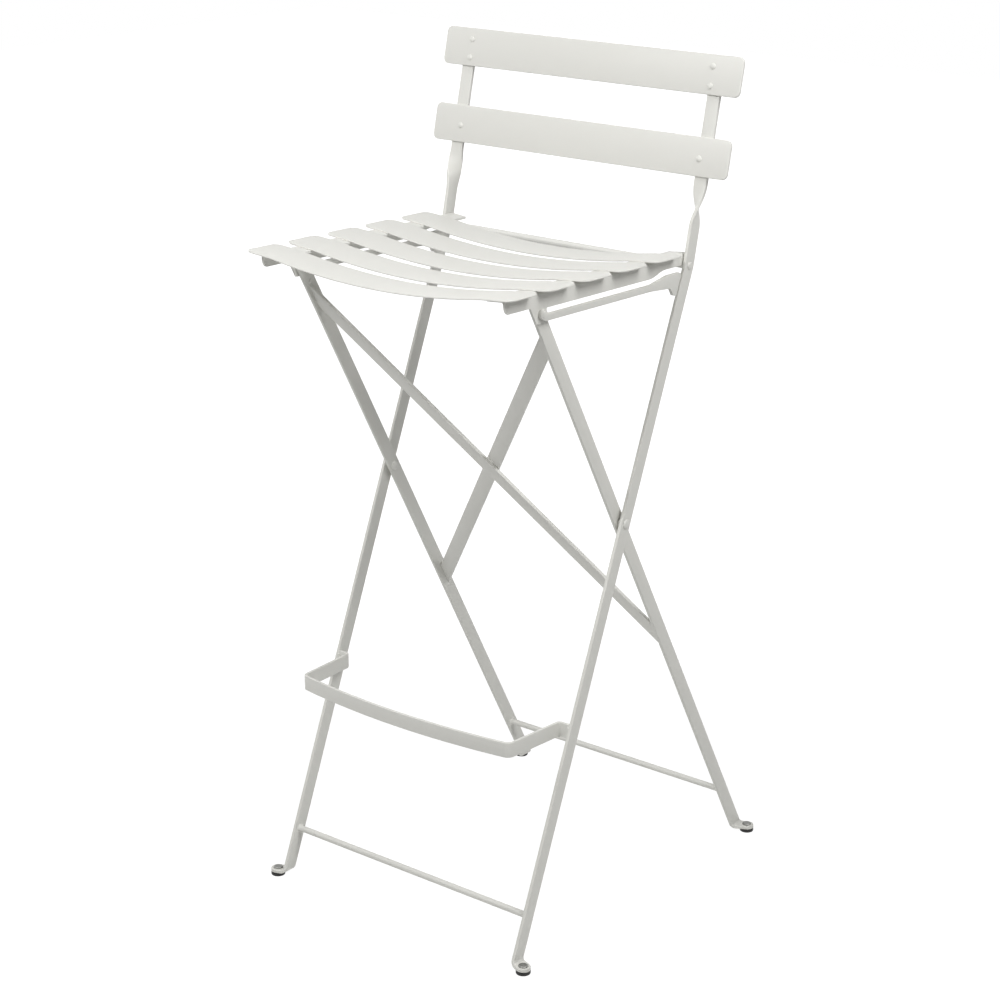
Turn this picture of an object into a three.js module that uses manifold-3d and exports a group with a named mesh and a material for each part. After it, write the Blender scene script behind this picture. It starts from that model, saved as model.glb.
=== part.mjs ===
// Folding bar stool: a back frame, a rear leg frame that crosses it, and a slatted seat.
// Millimetres, +Z up, -Y towards the sitter's feet, origin under the middle of the whole stool.
import * as THREE from "three";
import { mergeVertices } from "three/addons/utils/BufferGeometryUtils.js";
import Module from "manifold-3d";

const wasm = await Module();
wasm.setup();

// Flat bar and fits
const barWidth = 17;
const barThickness = 4;
const fitGap = 0.3;
const endCutShare = 0.96;
const roundSegments = 18;
const padSegments = 24;

// Widths, from the rear legs' outer faces outward
const legHalfWidth = 171.3;
const pivotSpace = 4.7;
const backHalfWidth = legHalfWidth + pivotSpace + barThickness;

// Back frame
const pivotHeight = 478.4;
const backLean = 22.07;
const backrestLean = 12.92;
const pivotToKink = 298.1;
const kinkRadius = 60;
const twistStart = 42;
const twistEnd = 94;
const twistSteps = 10;
const backTop = 232;
const backSlatOverhang = 34;
const backSlatThickness = 3;
const backSlatCorner = 7;
const lowerSlatBottom = 99.2;
const lowerSlatHeight = 44;
const upperSlatBottom = 190;
const upperSlatHeight = 44.8;
const backRivetInset = 4;
const upperRivetPlaces = [31.5, 9.6];
const lowerRivetPlace = 19.6;
const backRivetRadius = 3.6;
const backRivetDome = 1.6;
const seatRodRadius = 4;
const seatRodNeckRadius = 3;
const seatRodHeadRadius = 4.4;
const seatRodHeadHeight = 1.7;
const footRodRadius = 3.75;
const weldCollarRadius = 5;
const weldCollarLength = 2.2;
const frontRodHeight = 56.9;

// Footrest strap, seen from above
const footrestHeight = 256;
const footrestStrapHeight = 18;
const footrestStrapThickness = 3.5;
const footrestTabAhead = 4.8;
const footrestTabLength = 15;
const footrestArmSplay = 5;
const footrestReach = 83;
const footrestBow = 13;
const footrestTabRadius = 5;
const footrestCornerRadius = 8;

// Rear leg frame
const legLean = 28.75;
const pivotToSeatPin = 308.3;
const rearRodHeight = 65.7;
const braceCentre = 39.5;
const braceEndRise = 229.201;

// Feet
const padThickness = 4.4;
const padRadius = 8.5;
const padEdge = 0.6;
const tabBendRadius = 5;
const tabReach = 13.2;
const footRivetRadius = 5.5;
const footRivetHeadHeight = 1.6;
const footRivetShank = 2.4;
const footRivetDepth = 2.4;

// Pivots
const pinRadius = 3;
const pivotHeadRadius = 3.9;
const pivotHeadHeight = 1.9;
const washerRadius = 7;

// Seat, measured from the seat pins rearward (v) and upward (w)
const seatLean = 1;
const webThickness = 3;
const webBottom = 5.1;
const flangeTop = 21.6;
const flangeWidth = 25;
const webGap = 0.3;
const railReach = 57.5;
const railRear = 262;
const railFrontCut = 7;
const railRearCut = 3;
const railNeckStart = 192;
const railNeckEnd = 222;
const railNeckBottom = 11.4;
const railNeckRadius = 12;
const earRadius = 10.3;
const earMargin = 2.2;
const earCornerRadius = 2;
const saddleClear = 0.4;
const slatCount = 5;
const slatOverhang = 15.4;
const slatWidth = 50;
const slatPitch = 64.24;
const slatReach = 71.4;
const slatCorner = 10;
const slatThickness = 1.6;
const slatDish = 10.5;
const slatEndRise = 2.5;
const slatRiseInset = 2.6;
const slatLandingMargin = 0.1;
const stopThickness = 4;
const stopEyeRadius = 6.2;
const stopTop = 0.1;
const stopHeight = 7.7;
const stopHookLength = 32;
const stopHookDepth = 20.5;
const stopHookRise = 5.6;
const stopClearance = 1.5;
const stopShoulderRadius = 8;
const stopNeckRadius = 6;
const stopHeadRadius = 4;
const stopThroatRadius = 2.5;
const stopToeRadius = 1.5;
const stopTipRadius = 1;

// Places worked out from the sizes
const rad = THREE.MathUtils.degToRad;
const half = (size) => size / 2;
const backBarX = backHalfWidth - half(barThickness);
const backInnerX = backHalfWidth - barThickness;
const legBarX = legHalfWidth - half(barThickness);
const legInnerX = legHalfWidth - barThickness;
const tabCentreHeight = padThickness + fitGap + half(barThickness);
const bendStartHeight = tabCentreHeight + tabBendRadius;
const bendQuarter = half(Math.PI) * tabBendRadius;
const footDrop = tabReach - tabBendRadius + bendQuarter;
const footFlatHeight = bendStartHeight - footDrop;
const along = (lean) => new THREE.Vector3(0, Math.sin(rad(lean)), Math.cos(rad(lean)));
const across = (lean) => new THREE.Vector3(0, Math.cos(rad(lean)), -Math.sin(rad(lean)));
const backUp = along(backLean);
const restUp = along(backrestLean);
const restBack = across(backrestLean);
const legUp = along(-legLean);
const legBack = across(-legLean);
const seatBack = across(seatLean);
const seatUp = along(seatLean);
const crossPivot = new THREE.Vector3(0, 0, pivotHeight);
const at = (start, direction, distance) => start.clone().addScaledVector(direction, distance);
const kink = at(crossPivot, backUp, pivotToKink);
const seatPin = at(crossPivot, legUp, pivotToSeatPin);
const backAxisY = (height) => (height - pivotHeight) * Math.tan(rad(backLean));
const backRivetX = backBarX - backRivetInset;
const backSlatHalfLength = backHalfWidth + backSlatOverhang;
const upperRivetHeights = upperRivetPlaces.map((place) => upperSlatBottom + place);
const lowerRivetHeight = lowerSlatBottom + lowerRivetPlace;
const braceSlope = braceEndRise / legInnerX;
const footrestTabX = backInnerX - footrestTabLength;
const footrestCornerX = footrestTabX - footrestArmSplay;
const footrestTabY = backAxisY(footrestHeight) - footrestTabAhead;
const footrestCornerY = footrestTabY - footrestReach;
const rodPlace = (up, height) => at(crossPivot, up, (height - pivotHeight) / up.z);
const footY = (lean) => (footFlatHeight - pivotHeight) * Math.tan(rad(lean));
const rearFootY = footY(-legLean);
const frontFootY = footY(backLean);
const railFront = -railReach;
const slatFront = -slatReach;
const stopBottom = stopTop - stopHeight;
const railInnerX = legHalfWidth + webGap;
const railOuterX = railInnerX + webThickness;
const slatHalfLength = railOuterX + slatOverhang;
const slatRiseX = railOuterX - slatRiseInset;
const slatLandingX = railOuterX - flangeWidth - slatLandingMargin;
const stopInnerX = railOuterX + webGap;
const stopOuterX = stopInnerX + stopThickness;
const seatFrontY = seatPin.y - slatReach * seatBack.y;
const middleY = half(seatFrontY + rearFootY + half(barWidth));

// Closed solid through a row of loops with the same number of points
function loft(loops) {
  const count = loops[0].length;
  const last = (loops.length - 1) * count;
  const triangles = [];
  for (let row = 0; row + 1 < loops.length; row += 1) {
    for (let side = 0; side < count; side += 1) {
      const a = row * count + side;
      const b = row * count + ((side + 1) % count);
      triangles.push(a, b, b + count, a, b + count, a + count);
    }
  }
  for (let side = 1; side + 1 < count; side += 1) {
    triangles.push(0, side + 1, side, last, last + side, last + side + 1);
  }
  const geometry = new THREE.BufferGeometry().setFromPoints(loops.flat());
  geometry.setIndex(triangles);
  return geometry;
}

// Turns the faces of a closed geometry outward
function outward(geometry) {
  const place = geometry.attributes.position;
  const index = geometry.index.array;
  const corner = [0, 1, 2].map(() => new THREE.Vector3());
  let volume = 0;
  for (let i = 0; i < index.length; i += 3) {
    corner.forEach((point, k) => point.fromBufferAttribute(place, index[i + k]));
    volume += corner[0].dot(corner[1].cross(corner[2]));
  }
  if (volume < 0) {
    for (let i = 0; i < index.length; i += 3) {
      [index[i], index[i + 1]] = [index[i + 1], index[i]];
    }
  }
  return geometry;
}

function solid(geometry) {
  const bare = geometry.clone();
  bare.deleteAttribute("normal");
  bare.deleteAttribute("uv");
  const merged = outward(mergeVertices(bare, 1e-4));
  return new wasm.Manifold(new wasm.Mesh({
    numProp: 3,
    vertProperties: new Float32Array(merged.attributes.position.array),
    triVerts: new Uint32Array(merged.index.array),
  }));
}

// Round piece along a line: rings are [distance, radius]
function turned(start, direction, rings, segments = roundSegments) {
  const side = new THREE.Vector3(0, 0, 1).cross(direction);
  if (side.length() < 1e-3) side.set(1, 0, 0);
  side.normalize();
  const other = direction.clone().cross(side);
  return solid(loft(rings.map(([distance, radius]) => {
    const middle = at(start, direction, distance);
    return Array.from({ length: segments }, (_, k) => {
      const turn = 2 * Math.PI * k / segments;
      return at(at(middle, side, radius * Math.cos(turn)), other, radius * Math.sin(turn));
    });
  })));
}

const drill = (start, direction, from, to, radius) =>
  turned(start, direction, [[from, radius], [to, radius]]);

// Rivet with a domed head at the far end and a flatter one at the near end
function rivet(start, direction, near, far, shank, head, dome, nearDome = dome) {
  const domeRings = (base, sign, height) => [
    [base, head],
    [base + sign * height * 0.55, head * 0.86],
    [base + sign * height * 0.9, head * 0.5],
    [base + sign * height, head * 0.12],
  ];
  return turned(start, direction, [
    ...domeRings(near, -1, nearDome).reverse(),
    [near, shank],
    [far, shank],
    ...domeRings(far, 1, dome),
  ]);
}

// Plate with an outline, between two distances along its normal
function plate(outline, origin, axisU, axisV, from, to) {
  const normal = axisU.clone().cross(axisV);
  const shape = new THREE.Shape(outline.map(([u, v]) => new THREE.Vector2(u, v)));
  const flat = new THREE.ExtrudeGeometry(shape, { depth: to - from, bevelEnabled: false });
  flat.applyMatrix4(new THREE.Matrix4().makeBasis(axisU, axisV, normal));
  const start = at(origin, normal, from);
  return solid(flat.translate(start.x, start.y, start.z));
}

// Rounds the corners of an outline; each corner is [u, v, radius]
function rounded(corners, steps = 5) {
  const count = corners.length;
  return corners.flatMap(([u, v, radius], k) => {
    if (!radius) return [[u, v]];
    const here = new THREE.Vector2(u, v);
    const before = new THREE.Vector2(...corners[(k + count - 1) % count]).sub(here).normalize();
    const after = new THREE.Vector2(...corners[(k + 1) % count]).sub(here).normalize();
    const turn = Math.acos(THREE.MathUtils.clamp(before.dot(after), -1, 1));
    const reach = radius / Math.tan(half(turn));
    const centre = before.clone().add(after).normalize()
      .multiplyScalar(radius / Math.sin(half(turn))).add(here);
    const from = here.clone().addScaledVector(before, reach).sub(centre);
    const to = here.clone().addScaledVector(after, reach).sub(centre);
    const start = Math.atan2(from.y, from.x);
    const sweep = Math.atan2(from.cross(to), from.dot(to));
    return Array.from({ length: steps + 1 }, (_, i) => {
      const angle = start + sweep * i / steps;
      return [centre.x + radius * Math.cos(angle), centre.y + radius * Math.sin(angle)];
    });
  });
}

const rectangle = (u, v, radius) => rounded([
  [-u, -v, radius], [u, -v, radius], [u, v, radius], [-u, v, radius],
]);

// Front and rear edge of a leaning bar with a round end, at one height of its unbent length
function barEdges(height, lean, endHeight) {
  const radius = half(barWidth);
  const slope = Math.tan(rad(lean));
  const middle = (height - pivotHeight) * slope;
  const reach = radius / Math.cos(rad(lean));
  const endY = (endHeight - pivotHeight) * slope;
  const above = height - endHeight;
  const chord = Math.sqrt(Math.max(radius * radius - above * above, 0));
  const towardEnd = Math.sign(endHeight - pivotHeight);
  const tangent = radius * Math.sin(rad(lean)) * towardEnd;
  const frontRound = (above + tangent) * towardEnd > 0;
  const rearRound = (above - tangent) * towardEnd > 0;
  return [
    frontRound ? endY - chord : middle - reach,
    rearRound ? endY + chord : middle + reach,
  ];
}

// Loop of a bar at one unbent height, with its foot tab folded outward
function barLoop(height, lean, barX, endHeight) {
  const [front, rear] = barEdges(height, lean, endHeight);
  const below = Math.max(bendStartHeight - height, 0);
  const turn = Math.min(below, bendQuarter) / tabBendRadius;
  const flat = Math.max(below - bendQuarter, 0);
  const point = (y, offset) => new THREE.Vector3(
    barX + tabBendRadius * (1 - Math.cos(turn)) + flat + offset * Math.cos(turn),
    y,
    Math.max(height, bendStartHeight) - tabBendRadius * Math.sin(turn) + offset * Math.sin(turn),
  );
  const face = half(barThickness);
  return [point(front, -face), point(rear, -face), point(rear, face), point(front, face)];
}

// Heights of the loops from a round end up to where the fold ends
function footHeights() {
  const radius = half(barWidth);
  const end = [-endCutShare, -0.85, -0.68, -0.48, -0.25, 0].map((share) => footFlatHeight + share * radius);
  const bend = [6, 5, 4, 3, 2, 1, 0].map((step) => bendStartHeight - bendQuarter * step / 6);
  const tangents = [-0.4, 0.4, 0.52, -0.52].map((share) => footFlatHeight + share * radius);
  const sorted = [...end, ...bend, ...tangents].sort((a, b) => a - b);
  return sorted.filter((height, k) => k === 0 || height - sorted[k - 1] > fitGap);
}

function flatLoop(centre, widthAxis, thickAxis) {
  const corner = (w, t) => at(at(centre, widthAxis, w * half(barWidth)), thickAxis, t * half(barThickness));
  return [corner(-1, -1), corner(1, -1), corner(1, 1), corner(-1, 1)];
}

// Upright: foot tab, straight leg, slight bend at seat level, quarter twist, flat backrest part
function uprightSolid() {
  const loops = footHeights().map((height) => barLoop(height, backLean, backBarX, footFlatHeight));
  const sideways = new THREE.Vector3(1, 0, 0);
  const centre = (start, direction, distance) => at(start, direction, distance).setX(backBarX);
  const bendAngle = backLean - backrestLean;
  const reach = kinkRadius * Math.tan(rad(half(bendAngle)));
  for (const share of [0, 0.25, 0.5, 0.75, 1]) {
    const lean = backLean - bendAngle * share;
    const from = centre(kink, backUp, -reach);
    const pull = 2 * share * (1 - share) * reach + share * share * reach;
    const onArc = at(from, backUp, pull);
    onArc.addScaledVector(restUp, share * share * reach);
    loops.push(flatLoop(onArc, across(lean), sideways));
  }
  for (let step = 0; step <= twistSteps; step += 1) {
    const share = step / twistSteps;
    const turn = half(Math.PI) * share * share * (3 - 2 * share);
    const distance = twistStart + (twistEnd - twistStart) * share;
    const widthAxis = restBack.clone().multiplyScalar(Math.cos(turn)).addScaledVector(sideways, -Math.sin(turn));
    const thickAxis = sideways.clone().multiplyScalar(Math.cos(turn)).addScaledVector(restBack, Math.sin(turn));
    loops.push(flatLoop(centre(kink, restUp, distance), widthAxis, thickAxis));
  }
  const topLoop = loops.at(-1).map((corner) => at(corner, restUp, backTop - twistEnd));
  loops.push(topLoop);
  let body = solid(loft(loops));
  const wide = 2 * barThickness;
  const through = (middle, radius) => drill(middle, sideways, backBarX - wide, backBarX + wide, radius);
  body = body.subtract(through(crossPivot, pinRadius + fitGap));
  body = body.subtract(through(kink, seatRodNeckRadius + fitGap));
  for (const height of [...upperRivetHeights, lowerRivetHeight]) {
    const middle = at(kink, restUp, height).setX(backRivetX);
    body = body.subtract(drill(middle, restBack, -wide, wide, rivetHole));
  }
  return body.subtract(footHole(backBarX, frontFootY));
}

const rivetShank = 2;
const rivetHole = rivetShank + fitGap;
const upward = new THREE.Vector3(0, 0, 1);
const rightward = new THREE.Vector3(1, 0, 0);

const footHole = (barX, y) => drill(
  new THREE.Vector3(barX + tabReach, y, tabCentreHeight), upward, -barThickness, barThickness,
  footRivetShank + fitGap,
);

function padSolid(barX, y) {
  const start = new THREE.Vector3(barX + tabReach, y, 0);
  const pad = turned(start, upward, [
    [0, padRadius - padEdge], [padEdge, padRadius],
    [padThickness - padEdge, padRadius], [padThickness, padRadius - padEdge],
  ], padSegments);
  const bottom = padThickness - footRivetDepth - fitGap;
  return pad.subtract(drill(start, upward, bottom, padThickness + padEdge, footRivetShank + fitGap));
}

function footRivetSolid(barX, y) {
  const tabTop = tabCentreHeight + half(barThickness);
  const start = new THREE.Vector3(barX + tabReach, y, 0);
  return turned(start, upward, [
    [padThickness - footRivetDepth, footRivetShank],
    [tabTop + fitGap, footRivetShank],
    [tabTop + fitGap, footRivetRadius],
    [tabTop + fitGap + footRivetHeadHeight * 0.6, footRivetRadius],
    [tabTop + fitGap + footRivetHeadHeight, footRivetRadius * 0.84],
  ]);
}

// Rear leg: round top inside the seat ear, straight, foot tab bent outward
function legSolid() {
  const loops = footHeights().map((height) => barLoop(height, -legLean, legBarX, footFlatHeight));
  const radius = half(barWidth);
  for (const share of [-0.7, -0.52, -0.44, 0, 0.25, 0.44, 0.52, 0.7, 0.85, endCutShare]) {
    loops.push(barLoop(seatPin.z + share * radius, -legLean, legBarX, seatPin.z));
  }
  const wide = 2 * barThickness;
  let body = solid(loft(loops));
  for (const middle of [crossPivot, seatPin]) {
    body = body.subtract(drill(middle, rightward, legBarX - wide, legBarX + wide, pinRadius + fitGap));
  }
  return body.subtract(footHole(legBarX, rearFootY));
}

// Brace strap, its ends cut to lie along the inner faces of the legs
function braceSolid(direction, offset) {
  const centre = at(at(crossPivot, legUp, braceCentre), legBack, -offset);
  const end = legInnerX - fitGap;
  const edge = half(barWidth) * Math.hypot(1, braceSlope);
  const outline = [
    [-end, -direction * braceSlope * end - edge],
    [end, direction * braceSlope * end - edge],
    [end, direction * braceSlope * end + edge],
    [-end, -direction * braceSlope * end + edge],
  ];
  const face = half(barThickness);
  const strap = plate(outline, centre, rightward, legUp, -face, face);
  return strap.subtract(drill(centre, legBack, -barThickness, barThickness, rivetHole));
}

// Rod between two inner faces with small weld collars
function rodSolid(start, innerX) {
  const end = innerX - fitGap;
  return turned(start, rightward, [
    [-end, weldCollarRadius],
    [-end + weldCollarLength, footRodRadius],
    [end - weldCollarLength, footRodRadius],
    [end, weldCollarRadius],
  ]);
}

function seatRodSolid() {
  const shoulder = backInnerX - fitGap;
  const head = backHalfWidth + fitGap;
  const rightHalf = [
    [shoulder, seatRodRadius],
    [shoulder, seatRodNeckRadius],
    [head, seatRodNeckRadius],
    [head, seatRodHeadRadius],
    [head + half(seatRodHeadHeight), seatRodHeadRadius * 0.9],
    [head + seatRodHeadHeight, half(seatRodHeadRadius)],
  ];
  const leftHalf = rightHalf.map(([distance, radius]) => [-distance, radius]).reverse();
  return turned(kink, rightward, [...leftHalf, ...rightHalf]);
}

// Footrest: end tabs against the uprights, arms forward, bowed front
function footrestSolid() {
  const bowPoints = [0.84, 0.6, 0.3, 0].map((share) => {
    const x = footrestCornerX * share;
    return [x, footrestCornerY - footrestBow * (1 - share * share)];
  });
  const right = [
    [backInnerX - fitGap, footrestTabY, 0],
    [footrestTabX, footrestTabY, footrestTabRadius],
    [footrestCornerX, footrestCornerY, footrestCornerRadius],
    ...bowPoints.map(([x, y]) => [x, y, 0]),
  ];
  const left = right.slice(0, -1).reverse().map(([x, y, radius]) => [-x, y, radius]);
  const path = rounded([...right, ...left]).map(([x, y]) => new THREE.Vector2(x, y));
  const loops = path.map((point, k) => {
    const before = path[Math.max(k - 1, 0)];
    const after = path[Math.min(k + 1, path.length - 1)];
    const into = point.clone().sub(before).normalize();
    const out = after.clone().sub(point).normalize();
    const way = into.clone().add(out).normalize();
    const mitre = k === 0 || k + 1 === path.length ? 1 : Math.cos(half(Math.acos(
      THREE.MathUtils.clamp(into.dot(out), -1, 1))));
    const side = half(footrestStrapThickness) / mitre;
    const corner = (s, h) => new THREE.Vector3(
      point.x - way.y * s * side, point.y + way.x * s * side, footrestHeight + h * half(footrestStrapHeight));
    return [corner(-1, -1), corner(1, -1), corner(1, 1), corner(-1, 1)];
  });
  return solid(loft(loops));
}

const seatPoint = (v, w, x = 0) => at(at(seatPin, seatBack, v), seatUp, w).setX(x);

// Height of a seat slat's underside above its landing, across the stool
function slatLift(x) {
  const distance = Math.abs(x);
  if (distance < slatLandingX) {
    const share = distance / slatLandingX;
    return -slatDish * (1 - share * share);
  }
  const share = Math.max(distance - slatRiseX, 0) / (slatHalfLength - slatRiseX);
  return slatEndRise * share * share;
}

function slatSolid(front) {
  const inset = [0, 0.06, 0.2, 0.4, 0.65, 1].map((share) => slatHalfLength - slatCorner * share);
  const inner = [slatRiseX, slatLandingX, ...[0.93, 0.8, 0.63, 0.43, 0.22].map((share) => slatLandingX * share)];
  const rightSide = [...inset, ...inner.filter((x) => x < inset.at(-1))];
  const stations = [...rightSide.map((x) => -x), 0, ...rightSide.slice().reverse()];
  return solid(loft(stations.map((x) => {
    const past = Math.max(Math.abs(x) - (slatHalfLength - slatCorner), 0);
    const corner = slatCorner - Math.sqrt(Math.max(slatCorner * slatCorner - past * past, 0));
    const low = flangeTop + fitGap + slatLift(x);
    const start = front + corner;
    const end = front + slatWidth - corner;
    return [
      seatPoint(start, low, x), seatPoint(end, low, x),
      seatPoint(end, low + slatThickness, x), seatPoint(start, low + slatThickness, x),
    ];
  })));
}

// Angle rail with its ear at the pin, its rear lower edge cut up, and a saddle over the rod
function railSolid() {
  const ear = half(barWidth) + earMargin;
  const outline = rounded([
    [railFront + railFrontCut, webBottom, 0],
    [-ear, webBottom, earCornerRadius],
    [-ear, -earRadius, earRadius * 0.9],
    [ear, -earRadius, earRadius * 0.9],
    [ear, webBottom, earCornerRadius],
    [railNeckStart, webBottom, railNeckRadius],
    [railNeckEnd, railNeckBottom, railNeckRadius],
    [railRear - railRearCut, railNeckBottom, 0],
    [railRear, railNeckBottom + railRearCut, 0],
    [railRear, flangeTop, 0],
    [railFront, flangeTop, 0],
    [railFront, webBottom + railFrontCut, 0],
  ]);
  const web = plate(outline, seatPin, seatBack, seatUp, railInnerX, railOuterX);
  const flange = plate([
    [railFront, flangeTop - webThickness], [railRear, flangeTop - webThickness],
    [railRear, flangeTop], [railFront, flangeTop],
  ], seatPin, seatBack, seatUp, railOuterX - flangeWidth, railInnerX + half(webThickness));
  const reach = legHalfWidth + 2 * webThickness;
  const saddle = drill(kink, rightward, legInnerX - flangeWidth, reach, seatRodRadius + saddleClear);
  const pinHole = drill(seatPin, rightward, legInnerX, reach, pinRadius + fitGap);
  return web.add(flange).subtract(saddle).subtract(pinHole);
}

// Where the upright's front edge, less a clearance, crosses a line of the seat
function stopReach(w) {
  const normal = across(backLean);
  const start = at(seatPin, seatUp, w).sub(crossPivot);
  return (-half(barWidth) - stopClearance - start.dot(normal)) / seatBack.dot(normal);
}

// Stop bar: round eye on the pin, long bar under the rail, hooked head before the upright
function stopSolid() {
  const headTop = stopReach(stopTop + stopHookRise);
  const headLow = stopReach(stopTop - stopHookDepth);
  const neck = headLow - stopHookLength;
  const outline = rounded([
    [0, stopTop, 0],
    [neck - half(stopHookLength), stopTop, stopShoulderRadius],
    [neck + half(stopHookLength) * 0.9, stopTop + stopHookRise, stopShoulderRadius],
    [headTop, stopTop + stopHookRise, stopHeadRadius],
    [headLow, stopTop - stopHookDepth, stopTipRadius],
    [headLow - stopHookLength * 0.18, stopTop - stopHookDepth * 0.93, stopToeRadius],
    [headLow - stopHookLength * 0.36, stopTop - stopHookDepth * 0.5, stopThroatRadius],
    [neck - half(stopHookLength), stopBottom, stopNeckRadius],
    [0, stopBottom, 0],
  ], 3);
  const bar = plate(outline, seatPin, seatBack, seatUp, stopInnerX, stopOuterX);
  const eye = turned(seatPin, rightward, [[stopInnerX, stopEyeRadius], [stopOuterX, stopEyeRadius]]);
  return bar.add(eye).subtract(drill(seatPin, rightward, legInnerX, backHalfWidth + barThickness,
    pinRadius + fitGap));
}

const paint = "#dedfd8";
const materials = {
  painted_steel: { color: paint, roughness: 0.5, metalness: 0.1 },
  rivet_steel: { color: "#9b9c98", roughness: 0.4, metalness: 0.8 },
  pad_rubber: { color: "#161616", roughness: 0.85, metalness: 0 },
};
const stool = new THREE.Group();
stool.name = "folding_bar_stool";

function add(name, body, slot = "painted_steel", mirrored = false) {
  const mesh = body.getMesh();
  const points = Float32Array.from(mesh.vertProperties);
  const triangles = Uint32Array.from(mesh.triVerts);
  for (let i = 0; i < points.length; i += 3) {
    if (mirrored) points[i] = -points[i];
    points[i + 1] -= middleY;
  }
  const geometry = new THREE.BufferGeometry();
  geometry.setAttribute("position", new THREE.BufferAttribute(points, 3));
  geometry.setIndex(new THREE.BufferAttribute(triangles, 1));
  outward(geometry);
  geometry.computeVertexNormals();
  const node = new THREE.Mesh(geometry, new THREE.MeshStandardMaterial(materials[slot]));
  node.name = name;
  stool.add(node);
}

// The right-hand piece and its mirror image
function addPair(name, body, slot, suffix = "") {
  add(`${name}_left${suffix}`, body, slot, true);
  add(`${name}_right${suffix}`, body, slot);
}

function backSlat(bottom, height, rivetHeights) {
  const middle = at(kink, restUp, bottom + half(height));
  const rear = -half(barThickness) - fitGap;
  let slat = plate(rectangle(backSlatHalfLength, half(height), backSlatCorner), middle, rightward, restUp,
    -rear, backSlatThickness - rear);
  for (const side of [-1, 1]) {
    for (const rivetHeight of rivetHeights) {
      const place = at(kink, restUp, rivetHeight).setX(side * backRivetX);
      slat = slat.subtract(drill(place, restBack, -3 * barThickness, barThickness, rivetHole));
    }
  }
  return slat;
}

function backRivet(height) {
  const place = at(kink, restUp, height).setX(backRivetX);
  const front = half(barThickness) + fitGap + backSlatThickness + fitGap;
  const forward = restBack.clone().negate();
  return rivet(place, forward, -half(barThickness) - fitGap, front, rivetShank, backRivetRadius, backRivetDome);
}

addPair("back_upright", uprightSolid());
add("back_slat_upper", backSlat(upperSlatBottom, upperSlatHeight, upperRivetHeights));
add("back_slat_lower", backSlat(lowerSlatBottom, lowerSlatHeight, [lowerRivetHeight]));
upperRivetHeights.forEach((height, k) => {
  addPair("back_rivet_upper", backRivet(height), "painted_steel", `_${k + 1}`);
});
addPair("back_rivet_lower", backRivet(lowerRivetHeight));
add("rear_cross_rod", seatRodSolid());
add("front_cross_rod", rodSolid(rodPlace(backUp, frontRodHeight), backInnerX));
add("footrest_bar", footrestSolid());
addPair("front_foot_pad", padSolid(backBarX, frontFootY), "pad_rubber");
addPair("front_foot_rivet", footRivetSolid(backBarX, frontFootY), "rivet_steel");
addPair("cross_pivot_rivet", rivet(crossPivot, rightward, legInnerX - fitGap, backHalfWidth + fitGap,
  pinRadius, pivotHeadRadius, pivotHeadHeight));
const washer = turned(crossPivot, rightward,
  [[legHalfWidth + fitGap, washerRadius], [backInnerX - fitGap, washerRadius]]);
addPair("cross_pivot_washer", washer.subtract(
  drill(crossPivot, rightward, legInnerX, backHalfWidth, pinRadius + fitGap)));

addPair("rear_leg", legSolid());
add("leg_cross_rod", rodSolid(rodPlace(legUp, rearRodHeight), legInnerX));
const braceOffset = half(barThickness + fitGap);
add("brace_strap_front", braceSolid(-1, braceOffset));
add("brace_strap_rear", braceSolid(1, -braceOffset));
const braceMiddle = at(crossPivot, legUp, braceCentre);
const braceFace = braceOffset + half(barThickness) + fitGap;
add("brace_centre_rivet", rivet(braceMiddle, legBack, -braceFace, braceFace, rivetShank,
  backRivetRadius, backRivetDome));
addPair("rear_foot_pad", padSolid(legBarX, rearFootY), "pad_rubber");
addPair("rear_foot_rivet", footRivetSolid(legBarX, rearFootY), "rivet_steel");

for (let k = 0; k < slatCount; k += 1) {
  add(`seat_slat_${k + 1}`, slatSolid(slatFront + k * slatPitch));
}
addPair("seat_rail", railSolid());
addPair("stop_bar", stopSolid());
addPair("seat_pivot_rivet", rivet(seatPin, rightward, legInnerX - fitGap, stopOuterX + fitGap,
  pinRadius, pivotHeadRadius, half(pivotHeadHeight)));

export default stool;
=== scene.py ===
"""Folding bar stool: detailed steel bar, slats, rods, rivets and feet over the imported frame."""

import math

import bmesh
import bpy
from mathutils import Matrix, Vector


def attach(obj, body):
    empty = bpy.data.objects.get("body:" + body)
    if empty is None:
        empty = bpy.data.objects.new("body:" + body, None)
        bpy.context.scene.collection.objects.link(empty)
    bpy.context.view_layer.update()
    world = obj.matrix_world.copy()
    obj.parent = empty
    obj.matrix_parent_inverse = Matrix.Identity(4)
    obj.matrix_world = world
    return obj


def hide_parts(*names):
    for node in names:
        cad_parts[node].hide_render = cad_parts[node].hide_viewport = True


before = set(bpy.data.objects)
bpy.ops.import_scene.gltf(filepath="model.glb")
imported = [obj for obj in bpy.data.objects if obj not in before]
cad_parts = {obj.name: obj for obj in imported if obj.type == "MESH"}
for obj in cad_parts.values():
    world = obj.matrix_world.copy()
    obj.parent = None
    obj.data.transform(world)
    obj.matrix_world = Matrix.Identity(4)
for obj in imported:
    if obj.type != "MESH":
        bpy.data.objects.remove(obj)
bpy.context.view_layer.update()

# Sizes in millimetres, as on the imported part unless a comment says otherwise
METRE = 1000
BAR_WIDTH, BAR_THICK, EDGE, GAP = 17, 4, 0.75, 0.3
PIVOT_HEIGHT = 478.4
BACK_LEAN, REST_LEAN, LEG_LEAN, SEAT_LEAN = 22.07, 12.92, 28.75, 1
KINK_DISTANCE, PIN_DISTANCE, KINK_RADIUS = 298.1, 308.3, 60
TWIST_START, TWIST_END, BACK_TOP = 42, 94, 232
BACK_X, LEG_X = 178, 169.3
BACK_INNER, BACK_OUTER = 176, 180
LEG_INNER, LEG_OUTER = 167.3, 171.3
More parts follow.
